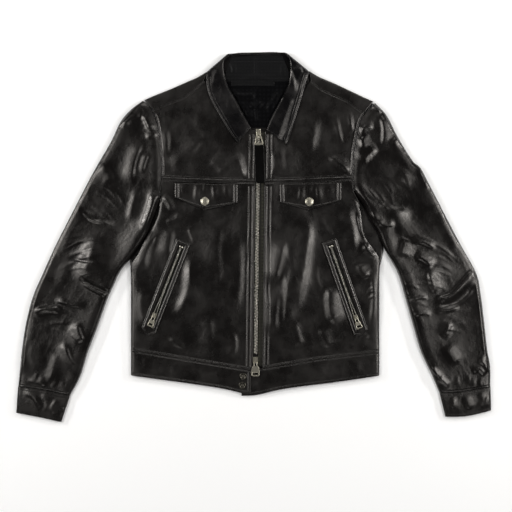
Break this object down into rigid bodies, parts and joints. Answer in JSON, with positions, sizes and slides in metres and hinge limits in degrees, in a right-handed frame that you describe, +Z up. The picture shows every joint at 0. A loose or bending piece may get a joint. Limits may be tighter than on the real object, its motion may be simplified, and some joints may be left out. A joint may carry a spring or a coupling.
{
  "type": "leather zip jacket laid flat",
  "caption": "Leather zip jacket laid flat on its back, with a turn-down collar, flapped chest pockets, slanted zip pockets and hinged zip pulls.",
  "frame": {"origin": "under the middle of the garment's outline, on the surface that it lies on", "axes": "+Z up, out of the fronts; +Y towards the collar; +X to the right of somebody looking down at the fronts"},
  "size_m": [0.917, 0.713, 0.0164],
  "materials": {
    "leather": "glazed black leather with a fine grain",
    "collar_leather": "black leather, a little duller",
    "lining": "matt black twill",
    "zip_tape": "woven olive-black tape",
    "nickel": "antique nickel",
    "dark_nickel": "dark nickel"
  },
  "bodies": {
    "garment": {"back_panel": "leather", "back_yoke": "leather", "front_yoke_left": "leather", "front_yoke_right": "leather", "front_lower_left": "leather", "front_lower_right": "leather", "waistband_left": "leather", "waistband_right": "leather", "waistband_back": "leather", "sleeve_top_left": "leather", "sleeve_under_left": "leather", "sleeve_top_right": "leather", "sleeve_under_right": "leather", "cuff_left": "leather", "cuff_right": "leather", "flap_left": "leather", "flap_right": "leather", "welt_left": "leather", "welt_right": "leather", "collar": "collar_leather", "collar_stand": "lining", "neck_strip": "lining", "neck_lining": "lining", "zip_tape_left": "zip_tape", "zip_tape_right": "zip_tape", "pocket_zip_left": "zip_tape", "pocket_zip_right": "zip_tape", "zip_chain": "nickel", "zip_slider_top": "nickel", "zip_slider_bottom": "nickel", "pocket_slider_left": "nickel", "pocket_slider_right": "nickel", "flap_snap_left": "nickel", "flap_snap_right": "nickel", "band_snap_upper": "dark_nickel", "band_snap_lower": "dark_nickel"},
    "pull_top": {"zip_clip_top": "nickel", "zip_tab_top": "collar_leather"},
    "pull_bottom": {"zip_pull_bottom": "nickel"},
    "pull_pocket_left": {"pocket_pull_left": "nickel"},
    "pull_pocket_right": {"pocket_pull_right": "nickel"}
  },
  "joints": [
    {"name": "pull_top_hinge", "type": "hinge", "parent": "garment", "child": "pull_top", "pos_m": [0.0097, 0.1975, 0.0093], "axis": [-0.9994, -0.0347, 0], "range_deg": [0, 150]},
    {"name": "pull_bottom_hinge", "type": "hinge", "parent": "garment", "child": "pull_bottom", "pos_m": [0.0038, -0.2415, 0.0093], "axis": [-1, 0, 0], "range_deg": [0, 150]},
    {"name": "pull_pocket_left_hinge", "type": "hinge", "parent": "garment", "child": "pull_pocket_left", "pos_m": [-0.19097, -0.15348, 0.01368], "axis": [-0.9318, 0.363, 0], "range_deg": [0, 150]},
    {"name": "pull_pocket_right_hinge", "type": "hinge", "parent": "garment", "child": "pull_pocket_right", "pos_m": [0.19691, -0.15713, 0.01366], "axis": [-0.9438, -0.3306, 0], "range_deg": [0, 150]}
  ]
}
